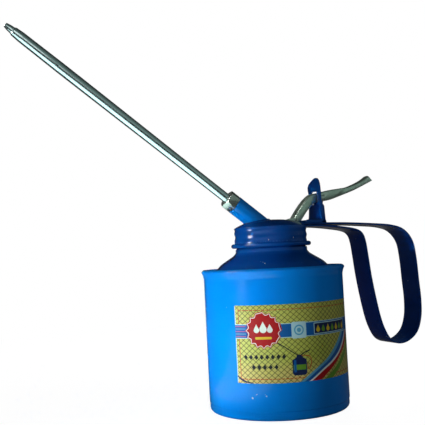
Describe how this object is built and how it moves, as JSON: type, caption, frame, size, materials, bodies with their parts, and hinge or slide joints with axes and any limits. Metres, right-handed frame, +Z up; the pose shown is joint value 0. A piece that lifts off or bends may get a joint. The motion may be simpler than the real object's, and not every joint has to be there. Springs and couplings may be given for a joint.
{
  "type": "pump oil can",
  "caption": "Round pump oil can with a long slanted spout, a screw-on pump head, a thumb lever and a bent strap handle.",
  "frame": {"origin": "centre of the can's flat underside", "axes": "+Z up along the can, -X towards the spout, +X towards the lever and handle, +Y completes the frame across the flat plane of symmetry"},
  "size_m": [0.2329, 0.0786, 0.2024],
  "materials": {
    "blue_enamel": "glossy azure-blue stove enamel on sheet steel",
    "label_paper": "printed gloss paper label, yellow-green ground with a blue band, no lettering",
    "seal_rubber": "black sealing rubber",
    "pump_brass": "turned brass",
    "plated_steel": "zinc-plated steel, slightly greenish",
    "bright_steel": "bright plated steel",
    "cup_leather": "oiled pump leather",
    "spring_steel": "oiled spring wire"
  },
  "bodies": {
    "can": {"can_body": "blue_enamel", "can_shoulder": "blue_enamel", "body_label": "label_paper"},
    "gasket": {"cap_gasket": "seal_rubber"},
    "pump_head": {"screw_cap": "blue_enamel", "pump_block": "pump_brass", "spout_socket": "blue_enamel", "spout_nut": "plated_steel", "spout_seal": "seal_rubber", "spout_tube": "bright_steel", "spout_tip": "bright_steel", "lever_bracket": "blue_enamel", "lever_pin": "plated_steel", "handle_strap": "blue_enamel", "strap_rivets": "blue_enamel", "gland_nut": "pump_brass", "rod_packing": "seal_rubber", "pump_barrel": "pump_brass", "foot_valve_body": "pump_brass", "ball_cage": "plated_steel", "pickup_tube": "pump_brass", "inlet_strainer": "pump_brass"},
    "lever": {"lever": "plated_steel"},
    "plunger": {"plunger_rod": "bright_steel", "rod_cross_pin": "plated_steel", "piston_backing": "pump_brass", "cup_leather": "cup_leather", "piston_follower": "pump_brass", "piston_nut": "pump_brass", "return_spring": "spring_steel"},
    "inlet_ball": {"inlet_ball": "bright_steel"}
  },
  "joints": [
    {"name": "head_rise", "type": "slide", "parent": "can", "child": "gasket", "axis": [0, 0, 1], "range_m": [0, 0.0061]},
    {"name": "head_turn", "type": "hinge", "parent": "gasket", "child": "pump_head", "pos_m": [0, 0, 0.09], "axis": [0, 0, 1], "range_deg": [0, 540]},
    {"name": "lever_pivot", "type": "hinge", "parent": "pump_head", "child": "lever", "pos_m": [0.0325, 0, 0.1135], "axis": [0, 1, 0], "range_deg": [0, 16], "stiffness_Nm_per_rad": 0.22, "springref_deg": -27.5},
    {"name": "plunger_slide", "type": "slide", "parent": "pump_head", "child": "plunger", "axis": [0, 0, 1], "range_m": [0, 0.006], "deforming": ["return_spring"]},
    {"name": "inlet_ball_lift", "type": "slide", "parent": "pump_head", "child": "inlet_ball", "axis": [0, 0, 1], "range_m": [0, 0.0012]}
  ],
  "couplings": [
    {"joint": "head_rise", "follows": "head_turn", "m_per_rad": 0.00063662},
    {"joint": "plunger_slide", "follows": "lever_pivot", "m_per_rad": 0.021}
  ]
}
